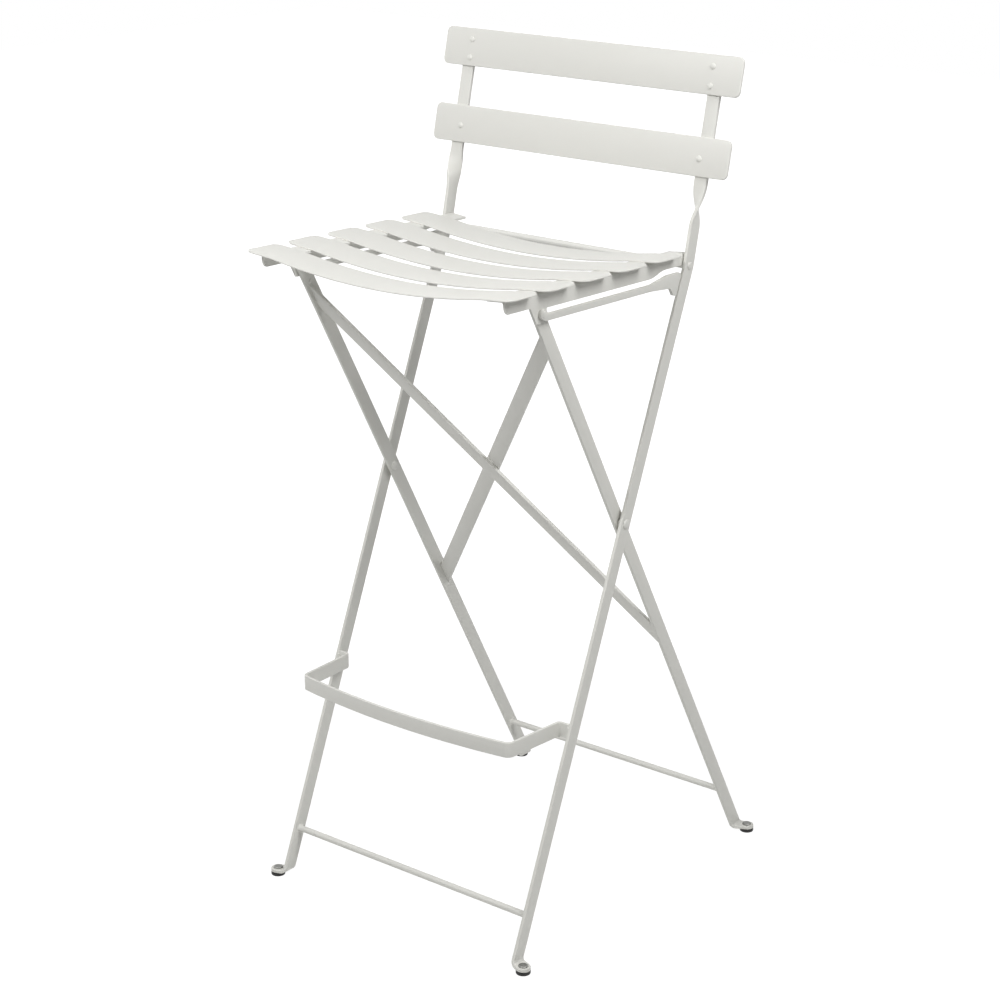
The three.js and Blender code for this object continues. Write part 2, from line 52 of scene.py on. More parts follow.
PAD_THICK, TAB_BEND, TAB_REACH = 4.4, 5, 13.2
TAB_MIDDLE = PAD_THICK + GAP + BAR_THICK / 2
BEND_START = TAB_MIDDLE + TAB_BEND
BEND_LENGTH = math.pi / 2 * TAB_BEND
FOOT_FLAT = BEND_START - (TAB_REACH - TAB_BEND + BEND_LENGTH)
FRONT_ROD_DISTANCE, REAR_ROD_DISTANCE = 454.9, 470.7
PIN_RADIUS = 3

# Seat slats and rails; their slope, the rails' rounding and their ears follow the photograph here
SLAT_HALF, SLAT_WIDTH, SLAT_PITCH, SLAT_FRONT, SLAT_COUNT = 190, 50, 64.24, -71.4, 5
SLAT_CORNER, SLAT_THICK, SLAT_DISH = 10.5, 1.8, 10.5
FLANGE_TOP, LANDING_X, LANDING_LIFT, RAIL_SLOPE = 21.6, 149.5, 1.3, 0.078
RAIL_INNER, RAIL_THICK, FLANGE_EDGE, RAIL_ROUND = 171.6, 3.0, 149.6, 5
NOSE_START, NOSE_REACH, NOSE_RISE, FRONT_BOTTOM = -54.5, 5.5, 9.5, 8.6
EAR_FRONT, EAR_REAR, EAR_BOTTOM, EAR_CORNER = -18.7, 9, -10.5, 2.5
WEB_BOTTOM, NECK_START, NECK_LENGTH, NECK_RISE = 5.1, 192, 30, 6.3
REAR_CUT, SADDLE_RADIUS = 259, 4.4
STOP_INNER, STOP_OUTER, STOP_EYE, STOP_GAP = 174.9, 178.9, 5.6, 1.5
STOP_TOP, STOP_BOTTOM, STOP_RISE, STOP_DEPTH, STOP_LENGTH = 0.1, -7.6, 5.6, 20.5, 32

# Backrest: each slat's lower edge above the kink and its height, then the rivets' heights
BACK_SLAT_HALF, BACK_SLAT_CORNER, BACK_SLAT_THICK, BACK_RIVET_X = 214, 7, 3, 174
UPPER_SLAT, LOWER_SLAT = (190, 44.8), (99.2, 44)
TOP_RIVET, SECOND_RIVET, LOW_RIVET = 221.5, 199.6, 118.8

# Braces, 1.5 mm wider and 1.2 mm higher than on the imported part
BRACE_RISE, BRACE_SLOPE, BRACE_WIDTH = 40.7, 1.37, 18.5
BRACE_HALF = BRACE_WIDTH / 2 * math.hypot(1, BRACE_SLOPE)
BRACE_OFFSET = (BAR_THICK + GAP) / 2

# Footrest strap
FOOTREST_HEIGHT, FOOTREST_WIDTH, FOOTREST_THICK, FOOTREST_EDGE = 256, 18, 3.5, 0.8
FOOTREST_REAR, FOOTREST_FRONT, FOOTREST_BOW = -95, -178, 13
TAB_X, TAB_RADIUS, CORNER_X, CORNER_RADIUS = 161, 5, 156, 8

# Rivet heads as (radius, height), chosen for the render: larger than packed at the crossing,
# flatter at the braces
SEAT_ROD_HEAD, SEAT_PIN_HEAD = (4.4, 1.9), (3.9, 1.1)
CROSS_HEAD, BRACE_HEAD = (5.8, 2.8), (3.2, 0.5)
BACK_RIVET_HEAD, BACK_RIVET_REAR, BRACE_HEAD_FRONT = (3.6, 1.7), 1.5, 0.15
THIN_SHANK = 2

# Overlap that closes a seam, play beside a washer or under a head, smallest ring at a pole
SEAM, PLAY, POLE = 0.02, 0.05, 0.02


def along(lean):
    """Direction of a line that leans back from upright by so many degrees."""
    return Vector((0, math.sin(math.radians(lean)), math.cos(math.radians(lean))))


def across(lean):
    """Direction square to such a line, in the side view."""
    return Vector((0, math.cos(math.radians(lean)), -math.sin(math.radians(lean))))


X_AXIS, Z_AXIS = Vector((1, 0, 0)), Vector((0, 0, 1))
BACK_UP, REST_UP, REST_BACK = along(BACK_LEAN), along(REST_LEAN), across(REST_LEAN)
LEG_UP, LEG_BACK = along(-LEG_LEAN), across(-LEG_LEAN)
SEAT_BACK, SEAT_UP = along(90 + SEAT_LEAN), along(SEAT_LEAN)
PIVOT = Vector((0, 0, PIVOT_HEIGHT))
KINK = PIVOT + BACK_UP * KINK_DISTANCE
PIN = PIVOT + LEG_UP * PIN_DISTANCE
BRACE_CENTRE = PIVOT + LEG_UP * BRACE_RISE


def eased(share):
    """0 to 1 with a gentle start and end."""
    return share * share * (3 - 2 * share)


def foot_y(lean):
    """How far back a leg of that lean puts its foot, less than 0 for forward."""
    return (FOOT_FLAT - PIVOT_HEIGHT) * math.tan(math.radians(lean))


FRONT_FOOT_Y, REAR_FOOT_Y = foot_y(BACK_LEAN), foot_y(-LEG_LEAN)
MIDDLE_Y = (PIN.y + SLAT_FRONT * SEAT_BACK.y + REAR_FOOT_Y + BAR_WIDTH / 2) / 2


# Materials: scales are periods per metre, heights are metres
DRIFT_SCALE, SPECK_SCALE, DRIFT_SHARE = 9, 420, 0.75
# Painted highlight on sharp edges: the pointiness where it starts and where it is full, and its share of
# the colour
PAINTED_HIGHLIGHT_FROM, PAINTED_HIGHLIGHT_FULL, PAINTED_HIGHLIGHT_SHARE = 0.505, 0.56, 0.35
FINE_PEEL_RATIO, FINE_PEEL_SHARE, PEEL_STRENGTH, COAT_ROUGHNESS = 3.1, 0.4, 0.35, 0.3


class Reading:
    """A number that varies over a surface; arithmetic on it adds Math nodes to its tree."""

    def __init__(self, tree, socket):
        self.tree, self.socket = tree, socket

    def maths(self, operation, first, second):
        made = node(self.tree, "ShaderNodeMath", {"operation": operation}, {0: first, 1: second})
        return Reading(self.tree, made)

    def __add__(self, other):
        return self.maths("ADD", self, other)

    def __mul__(self, other):
        return self.maths("MULTIPLY", self, other)

    def __or__(self, other):
        return self.maths("MAXIMUM", self, other)

    __radd__ = __add__
    __rmul__ = __mul__
    __ror__ = __or__


def node(tree, kind, settings, sockets, output=0):
    """Adds a node: its settings first, then the values or links of its sockets."""
    made = tree.nodes.new(kind)
    for name, value in settings.items():
        setattr(made, name, value)
    for name, value in sockets.items():
        if isinstance(value, Reading):
            value = value.socket
        if isinstance(value, bpy.types.NodeSocket):
            tree.links.new(value, made.inputs[name])
        else:
            made.inputs[name].default_value = value
    return made.outputs[output] if output is not None else made


def empty_material(name):
    """New material and its tree, with no nodes in it."""
    material = bpy.data.materials.new(name)
    material.use_nodes = True
    material.node_tree.nodes.clear()
    return material, material.node_tree


def object_place(tree):
    return tree.nodes.new("ShaderNodeTexCoord").outputs["Object"]


def grain(tree, scale, detail, rough=0.5):
    """Noise of a given fineness."""
    sockets = {"Vector": object_place(tree), "Scale": scale, "Detail": detail, "Roughness": rough}
    return Reading(tree, node(tree, "ShaderNodeTexNoise", {}, sockets, "Fac"))


def blend_colours(tree, amount, first, second):
    sockets = {"Factor": amount, "A": first, "B": second}
    return node(tree, "ShaderNodeMix", {"data_type": "RGBA"}, sockets, "Result")


def finish(name, light, dark, surface, texture, edge=None):
    """A colour drifting between two tones, with a painted highlight that makes sharp edges paler, over a
    fine surface texture.

    surface is roughness, its spread, metallic and coat; texture is a scale and a height; edge, if given,
    is the colour of the painted highlight on sharp edges.
    """
    rough, rough_spread, metal, coat = surface
    peel_scale, peel_height = texture
    material, tree = empty_material(name)
    drift = grain(tree, DRIFT_SCALE, detail=4, rough=0.6)
    speck = grain(tree, SPECK_SCALE, detail=2, rough=0.6)
    tone = drift * DRIFT_SHARE + speck * (1 - DRIFT_SHARE)
    colour = blend_colours(tree, tone, (*dark, 1), (*light, 1))
    # Painted highlight: sharp edges are blended toward a paler colour, standing in for light caught on
    # them
    if edge:
        corner = tree.nodes.new("ShaderNodeNewGeometry").outputs["Pointiness"]
        sockets = {"Value": corner, "From Min": PAINTED_HIGHLIGHT_FROM, "From Max": PAINTED_HIGHLIGHT_FULL}
        painted_highlight = Reading(tree, node(tree, "ShaderNodeMapRange", {}, sockets))
        colour = blend_colours(tree, painted_highlight * PAINTED_HIGHLIGHT_SHARE, colour, (*edge, 1))
    fine_peel = grain(tree, peel_scale * FINE_PEEL_RATIO, detail=1)
    peel = grain(tree, peel_scale, detail=2) + fine_peel * FINE_PEEL_SHARE
    sockets = {"Strength": PEEL_STRENGTH, "Distance": peel_height, "Height": peel}
    bump = node(tree, "ShaderNodeBump", {}, sockets)
    shader = node(tree, "ShaderNodeBsdfPrincipled", {}, {
        "Base Color": colour, "Roughness": speck * rough_spread + rough, "Metallic": metal,
        "Coat Weight": coat, "Coat Roughness": COAT_ROUGHNESS, "Normal": bump})
    node(tree, "ShaderNodeOutputMaterial", {}, {"Surface": shader}, None)
    return material


FINISH = {
    # painted_steel's edge colour is a painted highlight on its sharp edges
    "painted_steel": finish(
        "painted_steel", light=(0.735, 0.73, 0.69), dark=(0.69, 0.685, 0.645),
        surface=(0.4, 0.16, 0, 0.12), texture=(620, 0.00006), edge=(0.80, 0.80, 0.765)),
    "rivet_steel": finish(
        "rivet_steel", light=(0.30, 0.30, 0.285), dark=(0.20, 0.20, 0.19),
        surface=(0.36, 0.25, 0.75, 0), texture=(900, 0.0001)),
    "pad_rubber": finish(
        "pad_rubber", light=(0.016, 0.016, 0.015), dark=(0.009, 0.009, 0.009),
        surface=(0.55, 0.3, 0, 0), texture=(1400, 0.0002)),
}


# Making and placing pieces; edges sharper than the crease angle in degrees aren't smoothed
CREASE_ANGLE, RAIL_CREASE_ANGLE, MERGE_DISTANCE = 32, 40, 1e-7


def solid_mesh(name, shells, mirror=False, sharp=CREASE_ANGLE):
    """Mesh in metres from closed shells, each (points, faces), smooth but for its creases."""
    mesh = bpy.data.meshes.new(name)
    side = -1 if mirror else 1
    points, faces = [], []
    for shell_points, shell_faces in shells:
        base = len(points)
        for x, y, z in shell_points:
            points.append((side * x / METRE, (y - MIDDLE_Y) / METRE, z / METRE))
        for face in shell_faces:
            faces.append(tuple(base + i for i in face))
    mesh.from_pydata(points, [], faces)
    net = bmesh.new()
    net.from_mesh(mesh)
    bmesh.ops.remove_doubles(net, verts=net.verts, dist=MERGE_DISTANCE)
    bmesh.ops.recalc_face_normals(net, faces=net.faces)
    net.to_mesh(mesh)
    net.free()
    mesh.shade_smooth()
    mesh.set_sharp_from_angle(angle=math.radians(sharp))
    return mesh


def shown(name, mesh):
    """New object for a mesh, lamp or camera, in the scene."""
    made = bpy.data.objects.new(name, mesh)
    bpy.context.scene.collection.objects.link(made)
    return made


def placed(name, mesh, body, nodes):
    """The mesh as an object that rides on a body in place of its nodes."""
    made = shown(name, mesh)
    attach(made, body)
    if nodes:
        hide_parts(*nodes)


def piece(name, shells, body, nodes, slot="painted_steel", mirror=False, sharp=CREASE_ANGLE):
    """One mesh of closed shells with its finish, on its body."""
    mesh = solid_mesh(name, shells, mirror, sharp)
    mesh.materials.append(FINISH[slot])
    placed(name, mesh, body, nodes)


def pair(name, shells, body, nodes, slot="painted_steel", sharp=CREASE_ANGLE):
    """The right-hand piece and its mirror image; {} in a node name takes the side."""
    for side in ("left", "right"):
        own_nodes = [n.format(side) for n in nodes]
        piece(name.format(side), shells, body, own_nodes, slot, side == "left", sharp)


def grid_of_copies():
    """Geometry Nodes: a mesh copied along two lines of even steps, made real, with its finish."""
    tree = bpy.data.node_groups.new("grid_of_copies", "GeometryNodeTree")
    inputs = {
        "Mesh": "Geometry", "Count": "Int", "Step": "Vector",
        "Row Count": "Int", "Row Step": "Vector", "Finish": "Material",
    }
    for name, kind in inputs.items():
        tree.interface.new_socket(name=name, in_out="INPUT", socket_type="NodeSocket" + kind)
    tree.interface.new_socket(name="Copies", in_out="OUTPUT", socket_type="NodeSocketGeometry")
    given = tree.nodes.new("NodeGroupInput").outputs
    made = given["Mesh"]
    for count, step in (("Count", "Step"), ("Row Count", "Row Step")):
        sockets = {"Count": given[count], "Offset": given[step]}
        line = node(tree, "GeometryNodeMeshLine", {"mode": "OFFSET"}, sockets)
        made = node(tree, "GeometryNodeInstanceOnPoints", {}, {"Points": line, "Instance": made})
    real = node(tree, "GeometryNodeRealizeInstances", {}, {"Geometry": made})
    dressed = node(tree, "GeometryNodeSetMaterial", {}, {"Geometry": real, "Material": given["Finish"]})
    node(tree, "NodeGroupOutput", {}, {"Copies": dressed}, None)
    return tree


COPIES = grid_of_copies()


def copies(name, shells, body, nodes, count, step, rows=1, row_step=(0, 0, 0), slot="painted_steel"):
    """A piece repeated in even steps by the node tree, kept as one plain mesh."""
    source = shown(name + "_one", solid_mesh(name + "_one", shells))
    repeat = source.modifiers.new("copies", "NODES")
    repeat.node_group = COPIES
    values = {"Count": count, "Step": [s / METRE for s in step], "Row Count": rows,
              "Row Step": [s / METRE for s in row_step], "Finish": FINISH[slot]}
    for socket in COPIES.interface.items_tree:
        if socket.name in values:
            repeat[socket.identifier] = values[socket.name]
    whole = source.evaluated_get(bpy.context.evaluated_depsgraph_get())
    mesh = bpy.data.meshes.new_from_object(whole)
    mesh.name = name
    source.modifiers.remove(repeat)
    bpy.data.objects.remove(source)
    placed(name, mesh, body, nodes)


def both_sides(name, shells, body, node_name, x, slot="painted_steel"):
    """The piece at x and its copy at -x; {} in the node name takes the side."""
    nodes = [node_name.format(side) for side in ("left", "right")]
    copies(name, shells, body, nodes, 2, (-2 * x, 0, 0), slot=slot)


# Shells: closed forms as (points, faces)
TURNED_SIDES, DOME_STEPS, RIM_RADIUS_SHARE, RIM_HEIGHT_SHARE = 40, 7, 0.97, 0.12
CORNER_STEPS = 8
MOST_ROUND, LEAST_RADIUS, NEARLY_ZERO = 0.49, 0.01, 1e-4


def loft(loops):
    """Skin over loops of as many points each, with flat ends."""
    count = len(loops[0])
    points = [p for loop in loops for p in loop]
    faces = []
    for row in range(len(loops) - 1):
        for k in range(count):
            a, b = row * count + k, row * count + (k + 1) % count
            faces.append((a, b, b + count, a + count))
    faces.append(tuple(range(count)))
    last = (len(loops) - 1) * count
    faces.append(tuple(last + k for k in range(count)))
    return points, faces


def corners(a0, a1, b0, b1, radius, steps=4):
    """Rounded rectangle as (a, b) pairs."""
    r = max(min(radius, (a1 - a0) * MOST_ROUND, (b1 - b0) * MOST_ROUND), LEAST_RADIUS)
    centres = ((a1 - r, b1 - r, 0), (a0 + r, b1 - r, 90), (a0 + r, b0 + r, 180), (a1 - r, b0 + r, 270))
    loop = []
    for ca, cb, start in centres:
        for k in range(steps + 1):
            t = math.radians(start + 90 * k / steps)
            loop.append((ca + r * math.cos(t), cb + r * math.sin(t)))
    return loop


def turned(start, direction, rings, sides=TURNED_SIDES):
    """Round form about an axis; a ring is (distance along it, radius)."""
    direction = direction.normalized()
    side = Z_AXIS.cross(direction)
    side = side.normalized() if side.length > NEARLY_ZERO else X_AXIS
    other = direction.cross(side)
    turns = [2 * math.pi * k / sides for k in range(sides)]
    loops = []
    for distance, radius in rings:
        middle = start + direction * distance
        loops.append([middle + side * radius * math.cos(t) + other * radius * math.sin(t) for t in turns])
    return loft(loops)


def dome(base, sign, radius, height):
    """Rings of a domed head with a small rim, from its seat to its top."""
    rings = [(base, radius * RIM_RADIUS_SHARE), (base + sign * height * RIM_HEIGHT_SHARE, radius)]
    for k in range(1, DOME_STEPS + 1):
        t = math.radians(90 * k / DOME_STEPS)
        rise = RIM_HEIGHT_SHARE + (1 - RIM_HEIGHT_SHARE) * math.sin(t)
        rings.append((base + sign * height * rise, max(radius * math.cos(t), POLE)))
    return rings


def rivet(start, direction, near, far, shank, head, near_height=None):
    """Shank with a domed head at each end; head is (radius, height)."""
    radius, height = head
    near_rings = dome(near, -1, radius, near_height or height)
    far_rings = dome(far, 1, radius, height)
    return turned(start, direction, near_rings[::-1] + [(near, shank), (far, shank)] + far_rings)


def plate(outline, origin, axis_u, axis_v, low, high, edge):
    """Plate with rounded rims: the outline runs in (u, v), its thickness along u x v."""
    normal = axis_u.cross(axis_v)
    net = bmesh.new()
    ring = [net.verts.new(origin + axis_u * u + axis_v * v + normal * low) for u, v in outline]
    face = net.faces.new(ring)
    made = bmesh.ops.extrude_face_region(net, geom=[face])
    moved = [g for g in made["geom"] if isinstance(g, bmesh.types.BMVert)]
    bmesh.ops.translate(net, verts=moved, vec=normal * (high - low))
    bmesh.ops.recalc_face_normals(net, faces=net.faces)
    rims = [e for e in net.edges if any(len(f.verts) > 4 for f in e.link_faces)]
    bmesh.ops.bevel(net, geom=rims, offset=edge, segments=3, profile=0.5, affect="EDGES")
    net.verts.index_update()
    points = [v.co.copy() for v in net.verts]
    faces = [tuple(v.index for v in f.verts) for f in net.faces]
    net.free()
    return points, faces


def rounded(corner_points, steps=CORNER_STEPS):
    """Line with its corners rounded; each corner is (u, v, radius), and radius 0 keeps it sharp."""
    spots = [Vector((u, v)) for u, v, radius in corner_points]
    line = []
    for k, (u, v, radius) in enumerate(corner_points):
        if not radius:
            line.append((u, v))
            continue
        here = spots[k]
        before = (spots[k - 1] - here).normalized()
        after = (spots[(k + 1) % len(spots)] - here).normalized()
        turn = before.angle(after)
        reach = radius / math.tan(turn / 2)
        centre = here + (before + after).normalized() * radius / math.sin(turn / 2)
        start, end = here + before * reach - centre, here + after * reach - centre
        first = math.atan2(start.y, start.x)
        sweep = math.atan2(start.x * end.y - start.y * end.x, start.dot(end))
        for i in range(steps + 1):
            t = first + sweep * i / steps
            line.append((centre.x + radius * math.cos(t), centre.y + radius * math.sin(t)))
    return line


# Flat bars
RIM_STEPS, ROUND_STEPS, BEND_STEPS, KINK_STEPS, TWIST_STEPS = 4, 14, 14, 8, 30
TIP_SHARE, TIP_STEP_SHARE, ROUND_SHARE, FIRST_TURN = 0.996, 0.0012, 0.985, 4
FOOT_SHARES, LEG_TOP_SHARES = (0.12, 0.24, 0.36, 0.46, 0.54), (-0.8, -0.6, -0.52, -0.44, -0.3, -0.15)


def bar_edges(height, lean, end_height):
    """Front and rear edge of a leaning bar with a round end, at one unbent height."""
    radius, slope = BAR_WIDTH / 2, math.tan(math.radians(lean))
    middle, reach = (height - PIVOT_HEIGHT) * slope, BAR_WIDTH / 2 / math.cos(math.radians(lean))
    end_y, above = (end_height - PIVOT_HEIGHT) * slope, height - end_height
    chord = math.sqrt(max(radius * radius - above * above, 0))
    toward = 1 if end_height > PIVOT_HEIGHT else -1
    tangent = radius * math.sin(math.radians(lean)) * toward
    front = end_y - chord if (above + tangent) * toward > 0 else middle - reach
    rear = end_y + chord if (above - tangent) * toward > 0 else middle + reach
    return front, rear


def bar_loop(height, lean, bar_x, end_height, thin=0.0):
    """Level section of a leaning bar, turned outward where its height lies in the foot's bend."""
    front, rear = bar_edges(height, lean, end_height)
    below = max(BEND_START - height, 0)
    turn, flat = min(below, BEND_LENGTH) / TAB_BEND, max(below - BEND_LENGTH, 0)
    middle_x = bar_x + TAB_BEND * (1 - math.cos(turn)) + flat
    middle_z = max(height, BEND_START) - TAB_BEND * math.sin(turn)
    face = BAR_THICK / 2 - thin
    return [Vector((middle_x + offset * math.cos(turn), y, middle_z + offset * math.sin(turn)))
            for y, offset in corners(front, rear, -face, face, EDGE)]


def end_loops(end_height, lean, bar_x, toward):
    """Loops over a round end, its rim rounded off, from the tip inward."""
    reach = toward * BAR_WIDTH / 2
    loops = []
    for k in range(RIM_STEPS + 1):
        inset = EDGE * (1 - math.sin(math.radians(90 * k / RIM_STEPS)))
        height = end_height + reach * (TIP_SHARE - TIP_STEP_SHARE * k * k)
        loops.append(bar_loop(height, lean, bar_x, end_height, thin=inset))
    for k in range(1, ROUND_STEPS + 1):
        t = math.radians(FIRST_TURN + (90 - FIRST_TURN) * k / ROUND_STEPS)
        height = end_height + reach * math.cos(t) * ROUND_SHARE
        loops.append(bar_loop(height, lean, bar_x, end_height))
    return loops


def foot_loops(lean, bar_x):
    """Loops from the foot tab's round end to the top of its bend."""
    extra = [FOOT_FLAT + BAR_WIDTH / 2 * share for share in FOOT_SHARES]
    bend = [BEND_START - BEND_LENGTH * (1 - k / BEND_STEPS) for k in range(BEND_STEPS + 1)]
    heights = sorted(h for h in extra + bend if h > FOOT_FLAT + GAP)
    return end_loops(FOOT_FLAT, lean, bar_x, -1) + [bar_loop(h, lean, bar_x, FOOT_FLAT) for h in heights]


def flat_loop(centre, width_axis, thick_axis, inset=0):
    """Section of a flat bar, square to its length."""
    wide, thick = BAR_WIDTH / 2 - inset, BAR_THICK / 2 - inset
    return [centre + width_axis * a + thick_axis * b for a, b in corners(-wide, wide, -thick, thick, EDGE)]


def upright():
    """Foot tab, straight leg, kink at seat level, quarter twist, flat top."""
    loops = foot_loops(BACK_LEAN, BACK_X)
    side = X_AXIS * BACK_X
    bend = BACK_LEAN - REST_LEAN
    reach = KINK_RADIUS * math.tan(math.radians(bend / 2))
    for k in range(KINK_STEPS + 1):
        share = k / KINK_STEPS
        spot = KINK + side - BACK_UP * reach * (1 - share) ** 2 + REST_UP * reach * share * share
        loops.append(flat_loop(spot, across(BACK_LEAN - bend * share), X_AXIS))
    for k in range(TWIST_STEPS + 1):
        share = k / TWIST_STEPS
        turn = math.pi / 2 * eased(share)
        spot = KINK + side + REST_UP * (TWIST_START + (TWIST_END - TWIST_START) * share)
        wide = REST_BACK * math.cos(turn) - X_AXIS * math.sin(turn)
        thick = X_AXIS * math.cos(turn) + REST_BACK * math.sin(turn)
        loops.append(flat_loop(spot, wide, thick))
    top = KINK + side + REST_UP * (BACK_TOP - EDGE)
    loops.append(flat_loop(top, -X_AXIS, REST_BACK))
    loops.append(flat_loop(top + REST_UP * EDGE, -X_AXIS, REST_BACK, inset=EDGE))
    return loft(loops)


def rear_leg():
    """Foot tab, straight leg, round top at the seat pin."""
    loops = foot_loops(-LEG_LEAN, LEG_X)
    for share in LEG_TOP_SHARES:
        loops.append(bar_loop(PIN.z + share * BAR_WIDTH / 2, -LEG_LEAN, LEG_X, PIN.z))
    return loft(loops + end_loops(PIN.z, -LEG_LEAN, LEG_X, 1)[::-1])


# Rods and straps; a fillet's rings are (distance from the end, radius)
ROD_FILLET = ((0, 5.3), (0.5, 5.1), (1.1, 4.5), (1.9, 4.0), (2.9, 3.75))
SEAT_ROD_RADIUS, SEAT_ROD_SHOULDER, SHOULDER_LENGTH = 4.0, 3.7, 0.4
FOOTREST_BOW_SHARES, FOOTREST_CORNER_STEPS, LEAST_MITRE = (0.84, 0.72, 0.6, 0.45, 0.3, 0.15, 0), 10, 0.2
BRACE_STEPS = 28
BEAD_SIDES, BEAD_STEPS, BEAD_TAPER, BEAD_TIP_SHARE = 14, 14, 6, 0.12
RIPPLE_SHARE, RIPPLE_TURN = 0.07, 2.6
SPOT_SKIRT, SPOT_HEAD, SPOT_REACH, SPOT_SINK = 2.3, (2.2, 0.7), 19, 0.05
CROSS_BEAD_RADIUS, CROSS_BEAD_REACH, CROSS_BEAD_INSET, CROSS_BEAD_SINK = 2.7, 6.8, 0.3, 0.1
TAB_BEAD_RADIUS, TAB_BEAD_HALF, TAB_BEAD_OFFSET, TAB_BEAD_SINK = 1.5, 7.5, 1.9, 0.1


def rod(start, inner):
    """Round rod with a small weld fillet at each end."""
    side = [(inner - SEAM - inward, radius) for inward, radius in ROD_FILLET]
    return turned(start, X_AXIS, [(-d, r) for d, r in side] + side[::-1])


def seat_rod():
    """Rod between the uprights, its thinner ends riveted over outside."""
    shoulder, head = BACK_INNER - SEAM, BACK_OUTER + SEAM
    right = [(shoulder - SHOULDER_LENGTH, SEAT_ROD_RADIUS), (shoulder, SEAT_ROD_SHOULDER)]
    right += [(shoulder, PIN_RADIUS), (head, PIN_RADIUS)] + dome(head, 1, *SEAT_ROD_HEAD)
    return turned(KINK, X_AXIS, [(-d, r) for d, r in right[::-1]] + right)


def footrest():
    """Strap bent round its end tabs and front corners, its front bowed, with rounded edges."""
    bow = [(CORNER_X * s, FOOTREST_FRONT - FOOTREST_BOW * (1 - s * s), 0) for s in FOOTREST_BOW_SHARES]
    right = [(BACK_INNER - SEAM, FOOTREST_REAR, 0), (TAB_X, FOOTREST_REAR, TAB_RADIUS),
             (CORNER_X, FOOTREST_FRONT, CORNER_RADIUS)] + bow
    left = [(-x, y, r) for x, y, r in right[:-1]][::-1]
    path = [Vector(spot) for spot in rounded(right + left, FOOTREST_CORNER_STEPS)]
    wide, thick = FOOTREST_WIDTH / 2, FOOTREST_THICK / 2
    loops = []
    for k, point in enumerate(path):
        into = (point - path[k - 1]).normalized() if k else None
        out = (path[k + 1] - point).normalized() if k + 1 < len(path) else None
        into, out = into or out, out or into
        way = (into + out).normalized()
        mitre = 1 / max(math.sqrt((1 + into.dot(out)) / 2), LEAST_MITRE)
        side = Vector((-way.y, way.x)) * mitre
        loops.append([Vector((point.x + side.x * b, point.y + side.y * b, FOOTREST_HEIGHT + a))
                      for a, b in corners(-wide, wide, -thick, thick, FOOTREST_EDGE)])
    return loft(loops)


def brace(direction, offset):
    """Flat strap across the legs, its ends cut along their inner faces."""
    centre = BRACE_CENTRE - LEG_BACK * offset
    thick = BAR_THICK / 2
    loops = []
    for k in range(-BRACE_STEPS, BRACE_STEPS + 1):
        x = (LEG_INNER - SEAM) * k / BRACE_STEPS
        middle = centre + X_AXIS * x + LEG_UP * BRACE_SLOPE * direction * x
        loops.append([middle + LEG_UP * a + LEG_BACK * b
                      for a, b in corners(-BRACE_HALF, BRACE_HALF, -thick, thick, EDGE)])
    return loft(loops)


def bead(start, end, normal, radius):
    """Weld bead along a short line, rippled, lying against a face."""
    way = end - start
    length = way.length
    way.normalize()
    up = normal.normalized()
    side = way.cross(up)
    turns = [2 * math.pi * i / BEAD_SIDES for i in range(BEAD_SIDES)]
    loops = []
    for k in range(BEAD_STEPS + 1):
        share = k / BEAD_STEPS
        taper = min(1, BEAD_TAPER * share + BEAD_TIP_SHARE, BEAD_TAPER * (1 - share) + BEAD_TIP_SHARE)
        size = radius * taper * (1 + RIPPLE_SHARE * math.sin(share * length * RIPPLE_TURN))
        middle = start + way * length * share
        loops.append([middle + side * size * math.cos(t) + up * size * math.sin(t) for t in turns])
    return loft(loops)


def footrest_welds():
    """A bead on each face of the right tab, against the upright."""
    beads = []
    reach = Z_AXIS * TAB_BEAD_HALF
    for side in (-1, 1):
        y = FOOTREST_REAR + side * TAB_BEAD_OFFSET
        middle = Vector((BACK_INNER - TAB_BEAD_SINK, y, FOOTREST_HEIGHT))
        beads.append(bead(middle - reach, middle + reach, X_AXIS, TAB_BEAD_RADIUS))
    return beads


def crossing_welds():
    """A bead on each edge of the front brace, over part of the rear one."""
    beads = []
    for side in (-1, 1):
        start = BRACE_CENTRE - LEG_UP * side * (BRACE_HALF - CROSS_BEAD_INSET) + LEG_BACK * CROSS_BEAD_SINK
        end = start + (LEG_UP * BRACE_SLOPE - X_AXIS) * side * CROSS_BEAD_REACH
        beads.append(bead(start, end, LEG_UP, CROSS_BEAD_RADIUS))
    return beads


def brace_end_welds():
    """Two low spots on the leg at each end of each brace."""
    rings = [(0, SPOT_SKIRT)] + dome(SPOT_SINK, 1, *SPOT_HEAD)
    spots = []
    for direction in (-1, 1):
        for side in (-1, 1):
            outward = X_AXIS * side
            rise = BRACE_SLOPE * direction * side * LEG_INNER
            for step in (-SPOT_REACH, SPOT_REACH):
                spot = BRACE_CENTRE + LEG_UP * (rise + step) + outward * (LEG_INNER + SPOT_SINK)
                spots.append(turned(spot, -outward, rings))
    return spots


